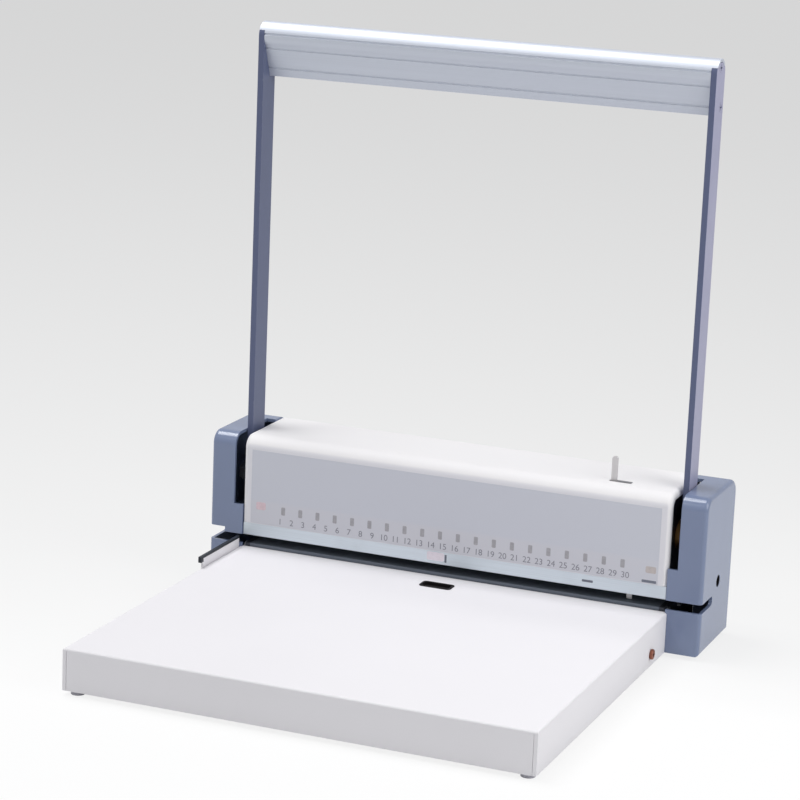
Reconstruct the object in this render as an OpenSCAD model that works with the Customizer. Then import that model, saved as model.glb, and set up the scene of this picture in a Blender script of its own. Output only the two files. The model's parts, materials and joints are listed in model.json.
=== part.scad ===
// Multi-hole punch: a lever with two long arms turns a shaft, cams on the shaft press a beam of punch
// pins through a die, and springs lift the beam again. Millimetres, +Z up, the user stands at -Y.
// The origin is on the desk, in the middle of the machine's width and depth.

/* [Punch row] */
// Number of holes made in one stroke
hole_count = 30; // [20:2:36]
// Distance between neighbouring holes
hole_pitch = 9.5; // [9.2:0.1:12]
// Diameter of the punch pins
pin_d = 6; // [4:0.1:6.3]
// Distance from the last hole to the end of the head
row_margin = 31.75; // [30.5:0.25:45]
// Distance from the head's front face to the row of holes
row_y = 30; // [28:0.5:33]
// Distance from the sheet's edge to the hole centres
edge_margin = 6; // [5:0.25:8]
// Depth to which the pins enter the die
die_entry = 2.7; // [1.5:0.1:3.5]

/* [Throat] */
// Height of the die's top above the desk
die_top = 36; // [34:0.5:40]
// Height of the gap that takes the sheets
throat_gap = 7; // [5:0.5:8]
// Thickness of the die
die_t = 9; // [8:0.5:10]
// Thickness of the plate that guides the pins
guide_t = 6; // [5:0.5:7]
// Height of the bright lip above the throat
lip_h = 10; // [7:0.5:13]

/* [Head] */
// Depth of the head from front to back
head_d = 77; // [74:1:95]
// Height of the head's top above the desk
head_top = 121.5; // [119:0.5:135]
// Radius of the hood's top edge at the front
front_round = 10; // [7:0.5:12]
// Radius of the hood's top edge at the back
rear_round = 12; // [7:0.5:14]
// Radius of the hood's end edges
hood_round = 4; // [3:0.5:5]
// Sheet thickness of the hood and the rear cover
cover_t = 1.2; // [0.8:0.1:1.5]
// Thickness of the side plates
frame_t = 4; // [3:0.5:5]

/* [End caps] */
// Width of an end cap
cap_w = 27; // [25:0.5:34]
// Wall thickness of the end caps
cap_wall = 2.5; // [2:0.25:3]
// Radius on the outer edges of the end caps
cap_round = 3; // [1:0.5:4]

/* [Lever] */
// Thickness of the lever's arms
arm_t = 4.5; // [4:0.25:6]
// Width of the lever's arms
arm_w = 21; // [18:0.5:24]
// Length from the pivot to the top of the handle
lever_l = 347.8; // [250:1:400]
// Height of the handle bar
handle_h = 41; // [34:0.5:48]
// Wall thickness of the handle bar
handle_wall = 2.2; // [1.6:0.1:2.6]
// Diameter of the lever's shaft
shaft_d = 12; // [10:0.5:13]
// Swing of the lever from upright to pressed, in degrees
lever_swing = 90; // [80:1:92]

/* [Table] */
// Depth of the table in front of the head
table_d = 280; // [200:5:340]
// Step from the table's top up to the die
table_step = 2.5; // [1.5:0.25:4]
// Sheet thickness of the table
table_t = 1.2; // [1:0.1:1.5]
// Height of the fence above the table
fence_h = 8; // [5:0.5:12]
// Length of the fence along the table's left edge
fence_l = 63; // [60:1:120]

/* [Edge stop] */
// Travel of the edge stop along the row
stop_travel = 10.5; // [8:0.5:18]
// Height of the finger tab above the hood
tab_h = 18.5; // [10:0.5:25]
// Width of the finger tab
tab_w = 4.5; // [3.5:0.25:6]

/* [Base] */
// Height of the rubber feet under the base
foot_h = 3.5; // [3:0.25:5]
// Thickness of the base plate
base_t = 2; // [1.5:0.25:3]
// Wall thickness of the chip drawer
drawer_wall = 1.5; // [1:0.25:2]

/* [Hidden] */
$fn = 64;
// Radial play of a running shaft, pin or post
run_fit = 0.05;
// Radial play of a screw in its hole
screw_fit = 0.1;
// Play between faces that pass each other
face_gap = 0.3;
// Overlap of a cutter past the face it opens
over = 1;
// Thickness of one slice of a rounded end
slice = 0.01;
// Slices on a rounded end
round_steps = 4;

// Widths, measured from the middle of the head
row_half = (hole_count - 1) * hole_pitch / 2;
half = row_half + row_margin;
end_gap = 0.5;
table_past = 1.5;
table_half = half + table_past;
frame_out = half - cover_t - end_gap;
frame_in = frame_out - frame_t;
arm_gap_in = 2.2;
arm_gap_out = 0.8;
arm_in = half + arm_gap_in;
arm_out = arm_in + arm_t;
slot_out = arm_out + arm_gap_out;
cap_out = half + cap_w;

// Depths, measured from the head's front face
head_y = (table_d - head_d) / 2;
stop_y = row_y + edge_margin;
backstop_t = 4;
throat_room = 1;
throat_end = stop_y + backstop_t + throat_room;
die_y0 = 3;
die_back = 5;
die_y1 = throat_end + die_back;
guide_front = 16;
guide_y0 = row_y - guide_front;
beam_half_y = 11;
frame_y0 = 3;
frame_back_gap = 4;
frame_y1 = head_d - frame_back_gap;
bar_t = 12;
bar_y = head_d - cover_t - bar_t;

// Heights above the desk
base_top = foot_h + base_t;
die_bottom = die_top - die_t;
throat_top = die_top + throat_gap;
guide_top = throat_top + guide_t;
table_top = die_top - table_step;
table_z = foot_h;
pin_rest = 0.3;
stroke = pin_rest + throat_gap + die_entry;
press_gap = 1;
holder_t = 6;
beam_t = 10;
holder_z = guide_top + press_gap + stroke;
beam_z = holder_z + holder_t;
beam_top = beam_z + beam_t;
cam_gap = 0.2;
cam_hub = 3;
cam_r = shaft_d / 2 + cam_hub;
pivot_z = beam_top + cam_gap + cam_r;
lever_top = pivot_z + lever_l;
hood_room = 6.5;
frame_top = head_top - hood_room;
hood_front_z = throat_top + lip_h;
hood_skirt = 41.5;
hood_rear_z = head_top - hood_skirt;
rear_cover_gap = 1;
rear_cover_z = die_bottom + rear_cover_gap;

// Punch pins, their holder and the springs
pin_r = pin_d / 2;
pin_collar = 1.2;
pin_head_r = pin_r + pin_collar;
pin_head_h = 2.5;
pin_seat = 0.1;
pin_notch = 0.7 * pin_r;
die_relief = 1;
die_land = 4;
post_r = 3.5;
wire_r = 0.6;
spring_room = 1.4;
spring_r = post_r + spring_room + wire_r;
pocket_room = 0.4;
pocket_r = spring_r + wire_r + pocket_room;
pocket_depth = 6;
wall = 2;
post_x = row_half + pin_head_r + wall + pocket_r;
beam_half = post_x + pocket_r + wall;
post_gap = 1.2;
post_top = pivot_z - shaft_d / 2 - post_gap;

// Cams: the beam moves the same distance for each degree of the lever
cam_lift = stroke / (lever_swing * PI / 180);
cam_w = 12;
cam_x = row_half / 2;
cam_nose = 2;
cam_nose_in = 0.4;
cam_step = 5;

// Lever
boss_r = 13;
slot_end_gap = 8.2;
slot_back_gap = 16;
shaft_r = shaft_d / 2;
bush_wall = 2.5;
bush_flange = 5;
stub_r = 4;
nut_r = 7.5;
nut_h = 6.5;
washer_r = 10;
washer_h = 1.2;
crown_r = arm_w / 2;
// How far down the crown covers the ends of the arms
crown_cover = 6;
rake = 12;
handle_foot = 8;
groove_r = 0.8;
// The first groove's angle up the crown, and the others' shares of the way down the face
crown_groove = 9;
face_grooves = [0.3, 0.79];
port_r = 5;
// How far the upper screw port sinks into the crown, and the lower one lies before the middle of the foot
port_sink = 0.6;
port_set = 0.3;
port_lift = 6;
upper_port = [0, -handle_wall - port_r + port_sink];
lower_port = [rake - crown_r + handle_foot / 2 - port_set, -handle_h + port_lift];
handle_screws_at = [upper_port, lower_port];
handle_screw_depth = 16;

// Fasteners: radius of the shank, radius of the head and its height
m3 = [1.5, 2.75, 1.8];
m4 = [2, 3.8, 2.4];
frame_screw_depth = 8;
flange_t = 2;
base_flange_h = 15;
base_flange_y = [12, head_d - 14];
base_screw_z = base_top + base_flange_h / 2;
base_screw_in = 6;
base_screws_y = [base_flange_y[0] + base_screw_in, base_flange_y[1] - base_screw_in];
bar_lower_h = 12;
bar_lower_z = rear_cover_z + wall;
bar_upper_h = 24;
bar_upper_drop = 10;
bar_upper_z = hood_rear_z - bar_upper_drop;
bar_screw_y = bar_y + 3.5;
bar_screw_in = 6;
die_screw_in = 7;
guide_screw_in = 5;
// Screws through a side plate: y, z, size, depth in the piece behind it
frame_screws_at = [
  [die_y0 + die_screw_in, die_top - die_t / 2, m4, frame_screw_depth],
  [die_y1 - die_screw_in, die_top - die_t / 2, m4, frame_screw_depth],
  [guide_y0 + guide_screw_in, throat_top + guide_t / 2, m3, frame_screw_depth],
  [row_y + wall, throat_top + guide_t / 2, m3, frame_screw_depth],
  [base_screws_y[0], base_screw_z, m4, flange_t],
  [base_screws_y[1], base_screw_z, m4, flange_t],
  [bar_screw_y, bar_lower_z + bar_lower_h / 2, m4, frame_screw_depth],
  [bar_screw_y, bar_upper_z + bar_screw_in, m4, frame_screw_depth],
  [bar_screw_y, bar_upper_z + bar_upper_h - bar_screw_in, m4, frame_screw_depth]
];
beam_screws_x = [for (share = [-0.85, -0.28, 0.28, 0.85]) share * row_half];
beam_screw_y = beam_half_y - 3;
cover_screws_x = [for (share = [-0.93, -0.31, 0.31, 0.93]) share * row_half];
hood_screw_up = 9;
cover_screw_down = 6;
cover_screws_z = [hood_rear_z + hood_screw_up, hood_rear_z - cover_screw_down, bar_lower_z + bar_lower_h / 2];
cover_screw_depth = cover_t + bar_t - over;

// Scale strip, a film on the hood's front, and the lip under it
strip_t = 0.25;
strip_in = 3;
strip_edge = 0.5;
lip_tuck = 9;
lip_foot = 6.8;

// End caps
cap_screw_y = throat_end;
cap_screw_lift = 7.7;
cap_screw_z = throat_top + cap_screw_lift;
cap_boss_r = 5.8;
cap_recess_r = 4.6;
cap_recess = 5.5;
cap_throat = 28;
flare_w = 12.5;
flare_h = 4;

// Table
toe_l = 52;
toe_h = 20;
toe_z = table_z + table_t + face_gap;
toe_boss_r = 7;
table_fold = 1.5;
table_screw_y = -36;
table_screw_z = 13;
table_lip = 14;
table_end = 2;
seam = 0.4;
seam_in = 2.6;
seam_depth = 0.6;
insert_l = 25;
insert_w = 13;
insert_round = 3;
insert_y = -21;
insert_rim = 1;
insert_wall = 2;
insert_h = 0.6;
insert_depth = 3;
insert_floor = 1;
fence_t = 1.5;
fence_end = -1.5;
fence_drop = 14.5;
trim = 0.6;
nose_l = 4;
nose_h = 4.5;
fence_screw_in = 5;
fence_screw_gap = 12;
fence_front = fence_end - fence_l;
fence_screws_y = [fence_front + fence_screw_in, fence_front + fence_screw_in + fence_screw_gap];
fence_screw_down = 8;
fence_screw_z = table_top - fence_screw_down;
fence_top = table_top + fence_h;
table_foot_r = 5;
table_foot_in = 8;

// Edge stop
stop_t = 1.5;
stop_room = 1.5;
stop_plate_y = guide_y0 - stop_room - stop_t;
finger_w = 4;
finger_in = 1.25;
finger_x = row_half - finger_in;
tab_in = 18.25;
tab_x = row_half - tab_in;
tab_set = 12;
tab_y = row_y - tab_set;
tab_slot_gap = 2;
tab_end_z = head_top + tab_h - tab_w / 2;
stop_bar_lift = 3;
stop_bar_z = pivot_z + stop_bar_lift;
stop_bar_h = 12;
stop_bar_top = stop_bar_z + stop_bar_h;
stud_r = 2.4;
stud_head_r = 4;
stud_head_h = 1.5;
stud_gap = 14;
stud_x = [finger_x - wall - stud_gap, finger_x - wall];
stop_bar_x = stud_x[0] - stop_travel - stud_head_r - wall;
stud_z = stop_bar_z + stop_bar_h / 2;

// Drawer and base
drawer_lift = 0.1;
drawer_side_gap = 5.8;
drawer_half = frame_in - flange_t - drawer_side_gap;
drawer_y0 = 8;
drawer_panel_t = 2.5;
drawer_y1 = head_d - drawer_panel_t - wall;
drawer_top_gap = 1.5;
drawer_top = die_bottom - drawer_top_gap;
drawer_panel_half = frame_in - 2 * wall;
pull_r = 10;
base_foot_r = 8;
base_feet_y = [14, head_d - 13];
base_foot_in = 24;

// Placement
module at_head() translate([0, head_y, 0]) children();
module both_sides() {
  children();
  mirror([1, 0, 0]) children();
}
module extrude_x(x0, x1) translate([x0, 0, 0]) rotate([90, 0, 90]) linear_extrude(x1 - x0) children();
module extrude_y(y0, y1) translate([0, y1, 0]) rotate([90, 0, 0]) linear_extrude(y1 - y0) children();
module rod_x(r, x0, x1, y, z) translate([x0, y, z]) rotate([0, 90, 0]) cylinder(r = r, h = x1 - x0);
module rod_y(r, y0, y1, x, z) translate([x, y1, z]) rotate([90, 0, 0]) cylinder(r = r, h = y1 - y0);
module rod_z(r, z0, z1, x, y) translate([x, y, z0]) cylinder(r = r, h = z1 - z0);
module block(low, high) translate(low) cube(high - low);
module corner(r) difference() {
  square(r + over);
  circle(r);
}
module rounded(l, w, r) {
  square([l, w - 2 * r], center = true);
  square([l - 2 * r, w], center = true);
  for (x = [-1, 1], y = [-1, 1]) translate([x * (l / 2 - r), y * (w / 2 - r)]) circle(r);
}
module stadium(l, w) {
  square([l - w, w], center = true);
  for (s = [-1, 1]) translate([s * (l - w) / 2, 0]) circle(d = w);
}

// A screw along X with its head's underside at x and its tip towards the middle
module screw_x(size, x, depth, y, z) {
  rod_x(size[0], x - depth, x + size[2] / 2, y, z);
  rod_x(size[1], x, x + size[2], y, z);
}

// A countersunk screw with its flat head at z = 0 and its tip below, or the cutter for its hole
module sunk_screw(size, depth, play, past) {
  head_h = size[1] - size[0];
  translate([0, 0, -depth]) cylinder(r = size[0] + play, h = depth);
  translate([0, 0, -head_h])
    cylinder(r1 = size[0] + play, r2 = size[1] + play + past, h = head_h + past);
}

// Outline of the head, seen from the side
module head_outline(inset) {
  r1 = front_round - inset;
  r2 = rear_round - inset;
  top = head_top - inset;
  difference() {
    translate([inset, foot_h + inset]) square([head_d - 2 * inset, head_top - foot_h - 2 * inset]);
    if (r1 > 0) translate([front_round, top - r1]) mirror([1, 0]) corner(r1);
    if (r2 > 0) translate([head_d - rear_round, top - r2]) corner(r2);
  }
}

// Throat seen from the side
module throat_outline(end) {
  r = throat_gap / 2;
  translate([-over, die_top]) square([end - r + over, throat_gap]);
  translate([end - r, die_top + r]) circle(r);
}

// Base and frame
module base_plate() color("dimgray") at_head() difference() {
  union() {
    block([-frame_in, die_y0, foot_h], [frame_in, frame_y1, base_top]);
    both_sides() block([frame_in - flange_t, base_flange_y[0], foot_h],
      [frame_in, base_flange_y[1], base_top + base_flange_h]);
  }
  for (y = base_screws_y) rod_x(m4[0] + screw_fit, -half, half, y, base_screw_z);
}
module base_feet() color("black") at_head()
  for (x = [-1, 1], y = base_feet_y) rod_z(base_foot_r, 0, foot_h, x * (frame_in - base_foot_in), y);
module frame_outline() difference() {
  union() {
    translate([frame_y0, foot_h]) square([frame_y1 - frame_y0, frame_top - foot_h]);
    translate([-toe_l, toe_z]) square([toe_l + frame_y0 + over, toe_h]);
  }
  translate([frame_y0 + front_round, frame_top - front_round]) mirror([1, 0]) corner(front_round);
  translate([frame_y1 - rear_round, frame_top - rear_round]) corner(rear_round);
  throat_outline(throat_end);
  translate([row_y, pivot_z]) circle(shaft_r + bush_wall + run_fit);
  for (s = frame_screws_at) translate([s[0], s[1]]) circle(s[2][0] + screw_fit);
  translate([cap_screw_y, cap_screw_z]) circle(m4[0] + screw_fit);
}
module side_frame_right() color("gray") at_head() difference() {
  union() {
    extrude_x(frame_in, frame_out) frame_outline();
    rod_x(toe_boss_r, frame_in + over, table_half - table_t, table_screw_y, table_screw_z);
  }
  rod_x(m4[0] + screw_fit, frame_in - over, table_half, table_screw_y, table_screw_z);
}
module side_frame_left() mirror([1, 0, 0]) side_frame_right();
module rear_tie_bars() color("gray") at_head() difference() {
  union() {
    block([-frame_in, bar_y, bar_lower_z], [frame_in, bar_y + bar_t, bar_lower_z + bar_lower_h]);
    block([-frame_in, bar_y, bar_upper_z], [frame_in, bar_y + bar_t, bar_upper_z + bar_upper_h]);
  }
  frame_screw_holes();
  for (x = cover_screws_x, z = cover_screws_z) rod_y(m3[0] + screw_fit, bar_y - over, head_d, x, z);
}
module frame_screw_holes() both_sides() for (s = frame_screws_at)
  rod_x(s[2][0] + screw_fit, frame_in - s[3] - face_gap, frame_in + over, s[0], s[1]);
module frame_screws() color("silver") at_head() both_sides() for (s = frame_screws_at)
  screw_x(s[2], frame_out, frame_t + s[3], s[0], s[1]);

// Die, stop and pin guide
function hole_x(i) = -row_half + i * hole_pitch;
module die_plate() color("darkgray") at_head() difference() {
  block([-frame_in, die_y0, die_bottom], [frame_in, die_y1, die_top]);
  for (i = [0 : hole_count - 1]) {
    rod_z(pin_r + run_fit, die_bottom, die_top + over, hole_x(i), row_y);
    rod_z(pin_r + die_relief, die_bottom - over, die_top - die_land, hole_x(i), row_y);
  }
  frame_screw_holes();
}
module back_stop() color("dimgray") at_head()
  block([-frame_in, stop_y, die_top], [frame_in, stop_y + backstop_t, throat_top]);
module guide_plate() color("darkgray") at_head() difference() {
  block([-frame_in, guide_y0, throat_top], [frame_in, die_y1, guide_top]);
  for (i = [0 : hole_count - 1])
    rod_z(pin_r + run_fit, throat_top - over, guide_top + over, hole_x(i), row_y);
  for (s = [-1, 1]) rod_z(post_r + run_fit, throat_top - over, guide_top + over, s * post_x, row_y);
  frame_screw_holes();
}
module guide_posts() color("silver") at_head()
  for (s = [-1, 1]) rod_z(post_r, throat_top + pin_rest, post_top, s * post_x, row_y);

// A coil spring of round wire between two heights
module coil(z0, z1) {
  turns = 7;
  ring_steps = 16;
  sides = 6;
  n = turns * ring_steps;
  points = [for (i = [0 : n], j = [0 : sides - 1])
    let (a = 360 * i / ring_steps, b = 360 * j / sides, r = spring_r + wire_r * cos(b))
    [r * cos(a), r * sin(a), z0 + wire_r + (z1 - z0 - 2 * wire_r) * i / n + wire_r * sin(b)]];
  skin = [for (i = [0 : n - 1], j = [0 : sides - 1])
    let (k = (j + 1) % sides)
    [i * sides + j, i * sides + k, (i + 1) * sides + k, (i + 1) * sides + j]];
  start = [for (j = [sides - 1 : -1 : 0]) j];
  end = [for (j = [0 : sides - 1]) n * sides + j];
  polyhedron(points, concat(skin, [start, end]));
}
module spring_right() color("silver") at_head()
  translate([post_x, row_y, 0]) coil(guide_top, beam_z + pocket_depth);
module spring_left() color("silver") at_head()
  translate([-post_x, row_y, 0]) coil(guide_top, beam_z + pocket_depth);

// Punch beam
module beam_slab(z0, z1)
  block([-beam_half, row_y - beam_half_y, z0], [beam_half, row_y + beam_half_y, z1]);
module beam_screw_holes() for (x = beam_screws_x, s = [-1, 1])
  rod_z(m3[0] + screw_fit, holder_z + wall, beam_top + over, x, row_y + s * beam_screw_y);
module pin_holder() color("gray") at_head() difference() {
  beam_slab(holder_z, beam_z);
  for (i = [0 : hole_count - 1]) {
    rod_z(pin_r + run_fit, holder_z - over, beam_z + over, hole_x(i), row_y);
    rod_z(pin_head_r + pin_seat, beam_z - pin_head_h - pin_seat, beam_z + over, hole_x(i), row_y);
  }
  for (s = [-1, 1]) rod_z(pocket_r, holder_z - over, beam_z + over, s * post_x, row_y);
  beam_screw_holes();
}
module punch_pin() difference() {
  union() {
    cylinder(r = pin_r, h = beam_z - throat_top - pin_rest);
    translate([0, 0, beam_z - throat_top - pin_rest - pin_head_h]) cylinder(r = pin_head_r, h = pin_head_h);
  }
  rotate([0, 45, 0]) cube([pin_notch, pin_d + over, pin_notch], center = true);
}
module punch_pins() color("silver") at_head()
  for (i = [0 : hole_count - 1]) translate([hole_x(i), row_y, throat_top + pin_rest]) punch_pin();
module punch_beam() color("slategray") at_head() difference() {
  beam_slab(beam_z, beam_top);
  for (s = [-1, 1]) {
    rod_z(post_r + run_fit, beam_z, beam_top + over, s * post_x, row_y);
    rod_z(pocket_r, beam_z - over, beam_z + pocket_depth, s * post_x, row_y);
  }
  beam_screw_holes();
}
module beam_screws() color("silver") at_head() for (x = beam_screws_x, s = [-1, 1]) {
  rod_z(m3[0], holder_z + wall + pin_rest, beam_top + over, x, row_y + s * beam_screw_y);
  rod_z(m3[1], beam_top, beam_top + m3[2], x, row_y + s * beam_screw_y);
}

// Lever
module lever_shaft() color("silver") at_head() difference() {
  union() {
    rod_x(shaft_r, -arm_out, arm_out, row_y, pivot_z);
    rod_x(stub_r, -arm_out - washer_h - nut_h - over, arm_out + washer_h + nut_h + over, row_y, pivot_z);
  }
  for (s = [-1, 1]) rod_y(m3[0] + screw_fit, row_y - shaft_r / 2, row_y + shaft_d, s * cam_x, pivot_z);
}
module shaft_bushes() color("peru") at_head() both_sides() difference() {
  union() {
    rod_x(shaft_r + bush_wall, frame_in, frame_out + over, row_y, pivot_z);
    rod_x(shaft_r + bush_flange, frame_out, arm_in - face_gap, row_y, pivot_z);
  }
  rod_x(shaft_r + run_fit, frame_in - over, arm_out, row_y, pivot_z);
}
function cam_point(a) = let (h = cam_r + cam_lift * a * PI / 180)
  [-h * sin(a) - cam_lift * cos(a), -h * cos(a) + cam_lift * sin(a)];
module cam_lobe() {
  tip = cam_point(lever_swing);
  polygon(concat([[0, cam_r - 2 * run_fit], [cam_r, cam_r] / 2, [cam_r, -cam_r] / 2],
    [for (i = [0 : (lever_swing - over) / cam_step]) cam_point(i * cam_step)],
    [tip, tip + [cam_nose_in, cam_nose]]));
}
module cam(x) color("gray") at_head() difference() {
  union() {
    rod_x(cam_r - run_fit, x - cam_w / 2, x + cam_w / 2, row_y, pivot_z);
    extrude_x(x - cam_w / 2, x + cam_w / 2) translate([row_y, pivot_z]) cam_lobe();
  }
  rod_x(shaft_r + run_fit, x - cam_w, x + cam_w, row_y, pivot_z);
  rod_y(m3[0] + screw_fit, row_y, row_y + shaft_d, x, pivot_z);
}
module cam_left() cam(-cam_x);
module cam_right() cam(cam_x);
module cam_pins() color("dimgray") at_head()
  for (s = [-1, 1])
    rod_y(m3[0], row_y - shaft_r / 2 + pin_rest, row_y + cam_r - pin_rest, s * cam_x, pivot_z);
module arm_outline() difference() {
  union() {
    translate([row_y, pivot_z]) circle(boss_r);
    translate([row_y - arm_w / 2, pivot_z]) square([arm_w, lever_l - crown_r]);
    translate([row_y, lever_top - crown_r]) circle(crown_r);
  }
  translate([row_y, pivot_z]) circle(shaft_r + run_fit);
  difference() {
    translate([row_y - arm_w, lever_top - crown_cover - run_fit]) square([2 * arm_w, arm_w]);
    translate([row_y, lever_top - crown_r]) circle(crown_r - handle_wall - run_fit);
  }
}
module lever_arm_right() color("lightslategray") at_head() difference() {
  extrude_x(arm_in, arm_out) arm_outline();
  handle_screw_set(screw_fit, over);
}
module lever_arm_left() mirror([1, 0, 0]) lever_arm_right();
module shaft_washers() color("silver") at_head() both_sides() difference() {
  rod_x(washer_r, arm_out, arm_out + washer_h, row_y, pivot_z);
  rod_x(stub_r + screw_fit, arm_out - over, arm_out + washer_h + over, row_y, pivot_z);
}
module shaft_nuts() color("silver") at_head() both_sides() difference() {
  translate([arm_out + washer_h, row_y, pivot_z]) rotate([0, 90, 0]) cylinder(r = nut_r, h = nut_h, $fn = 6);
  rod_x(stub_r + screw_fit, arm_out, cap_out, row_y, pivot_z);
}

// Handle bar seen from the side: y from the arm's middle, z down from the top
function handle_face(t) = [-crown_r + rake * t, -crown_r - (handle_h - crown_r) * t];
module handle_outline(w) {
  side = w * norm([rake, handle_h - crown_r]) / (handle_h - crown_r);
  low = (handle_h - crown_r - w) / (handle_h - crown_r);
  translate([0, -crown_r]) circle(crown_r - w);
  polygon([
    handle_face(0) + [side, 0],
    handle_face(low) + [side, 0],
    [rake - crown_r + handle_foot - w, -handle_h + w],
    [crown_r - w, -crown_r]
  ]);
}
module handle_section() difference() {
  handle_outline(0);
  difference() {
    handle_outline(handle_wall);
    for (p = handle_screws_at) translate(p) circle(port_r);
  }
  translate([-crown_r * cos(crown_groove), -crown_r + crown_r * sin(crown_groove)]) circle(groove_r);
  for (t = face_grooves) translate(handle_face(t)) circle(groove_r);
  for (p = handle_screws_at) translate(p) circle(m4[0] + screw_fit);
}
// The part of the bar's end that goes round an arm's end
module arm_seat() {
  translate([0, -crown_r]) circle(crown_r - handle_wall);
  translate([-arm_w, -arm_w - handle_h]) square([2 * arm_w, handle_h + arm_w - crown_cover]);
}
module handle_bar() color("lightgray") at_head() difference() {
  extrude_x(-arm_out, arm_out) translate([row_y, lever_top]) handle_section();
  both_sides() extrude_x(arm_in, arm_out + over) translate([row_y, lever_top]) arm_seat();
}
module handle_screw_set(play, past) for (p = handle_screws_at)
  translate([arm_out, row_y + p[0], lever_top + p[1]]) rotate([0, 90, 0])
    sunk_screw(m4, handle_screw_depth, play, past);
module handle_screws() color("slategray") at_head() both_sides() handle_screw_set(0, 0);

// Covers
module hood_ends(inset, r) for (s = [0 : round_steps]) let (a = 90 * s / round_steps)
  both_sides() extrude_x(half - hood_round + r * sin(a) - slice, half - hood_round + r * sin(a))
    head_outline(inset + r * (1 - cos(a)));
module hood() color("white") at_head() difference() {
  hull() hood_ends(0, hood_round);
  hull() hood_ends(cover_t, hood_round - cover_t);
  extrude_x(-half - over, half + over) head_outline(hood_round + cover_t);
  block([-half - over, -over, 0], [half + over, head_d / 2, hood_front_z]);
  block([-half - over, head_d / 2 - over, 0], [half + over, head_d + over, hood_rear_z]);
  block([tab_x - tab_w / 2 - over, tab_y - tab_slot_gap, frame_top],
    [tab_x + tab_w / 2 + stop_travel + over, tab_y + stop_t + tab_slot_gap, head_top + over]);
  cover_screw_row(cover_screws_z[0], screw_fit, over);
}
module scale_strip() color("gainsboro") at_head()
  block([-half + hood_round + strip_in, -strip_t, hood_front_z + strip_edge],
    [half - hood_round - strip_in, 0, head_top - front_round - strip_edge]);
module throat_lip() color("silver") at_head() {
  block([-half + end_gap, cover_t, throat_top], [half - end_gap, 2 * cover_t, hood_front_z - face_gap]);
  block([-frame_in, cover_t, throat_top], [frame_in, 2 * cover_t, hood_front_z + lip_tuck]);
  block([-frame_in, cover_t, throat_top], [frame_in, cover_t + lip_foot, throat_top + cover_t]);
}
module rear_cover() color("white") at_head() difference() {
  block([-half + end_gap, head_d - cover_t, rear_cover_z],
    [half - end_gap, head_d, hood_rear_z - end_gap]);
  cover_screw_row(cover_screws_z[1], screw_fit, over);
  cover_screw_row(cover_screws_z[2], screw_fit, over);
}
module cover_screw_row(z, play, past) for (x = cover_screws_x)
  translate([x, head_d, z]) rotate([-90, 0, 0]) sunk_screw(m3, cover_screw_depth, play, past);
module cover_screws() color("silver") at_head() for (z = cover_screws_z) cover_screw_row(z, 0, 0);

// End caps
module end_cap_right() color("steelblue") at_head() difference() {
  union() {
    difference() {
      hull() {
        extrude_x(half, half + slice) head_outline(0);
        for (s = [0 : round_steps])
          let (a = 90 * s / round_steps, x = cap_out - cap_round + cap_round * sin(a))
          extrude_x(x - slice, x) head_outline(cap_round * (1 - cos(a)));
      }
      extrude_x(half - over, cap_out - cap_wall) head_outline(cap_wall);
    }
    rod_x(cap_boss_r, frame_out, cap_out - cap_wall + over, cap_screw_y, cap_screw_z);
  }
  block([half - over, -over, pivot_z - arm_w / 2 - slot_end_gap],
    [slot_out, row_y + arm_w / 2 + slot_back_gap, head_top + over]);
  extrude_x(half - over, cap_out + over) throat_outline(cap_throat);
  rod_x(m4[0] + screw_fit, frame_out - over, cap_out, cap_screw_y, cap_screw_z);
  rod_x(cap_recess_r, cap_out - cap_recess, cap_out + over, cap_screw_y, cap_screw_z);
}
// The left cap's throat is flared at its outer end
module end_cap_left() color("steelblue") difference() {
  mirror([1, 0, 0]) end_cap_right();
  at_head() block([-cap_out - over, -over, die_top],
    [-cap_out + flare_w, cap_throat - throat_gap / 2, throat_top + flare_h]);
}
module cap_screws() color("dimgray") at_head() both_sides()
  screw_x(m4, cap_out - cap_recess, cap_out - cap_recess - frame_in, cap_screw_y, cap_screw_z);

// Edge stop
module stop_bar() difference() {
  union() {
    translate([stop_bar_x, stop_bar_z]) square([finger_x + finger_w - stop_bar_x, stop_bar_h]);
    translate([finger_x, die_top + face_gap]) square([finger_w, stop_bar_z - die_top]);
  }
  translate([(stud_x[0] + stud_x[1] - stop_travel) / 2, stud_z])
    stadium(stud_gap + stop_travel + 2 * (stud_r + screw_fit), 2 * (stud_r + screw_fit));
}
module edge_stop() color("lightgray") at_head() {
  extrude_y(stop_plate_y, stop_plate_y + stop_t) stop_bar();
  block([tab_x - tab_w / 2, stop_plate_y, stop_bar_top - stop_t],
    [tab_x + tab_w / 2, tab_y + stop_t, stop_bar_top]);
  extrude_y(tab_y, tab_y + stop_t) {
    translate([tab_x - tab_w / 2, stop_bar_top - stop_t]) square([tab_w, tab_end_z - stop_bar_top + stop_t]);
    translate([tab_x, tab_end_z]) circle(d = tab_w);
  }
}
module stop_studs() color("silver") at_head() for (x = stud_x) {
  rod_y(stud_head_r, cover_t, stop_plate_y - face_gap, x, stud_z);
  rod_y(stud_r, cover_t + over, stop_plate_y + stop_t + face_gap + over, x, stud_z);
  rod_y(stud_head_r, stop_plate_y + stop_t + face_gap,
    stop_plate_y + stop_t + face_gap + stud_head_h, x, stud_z);
}

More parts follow.
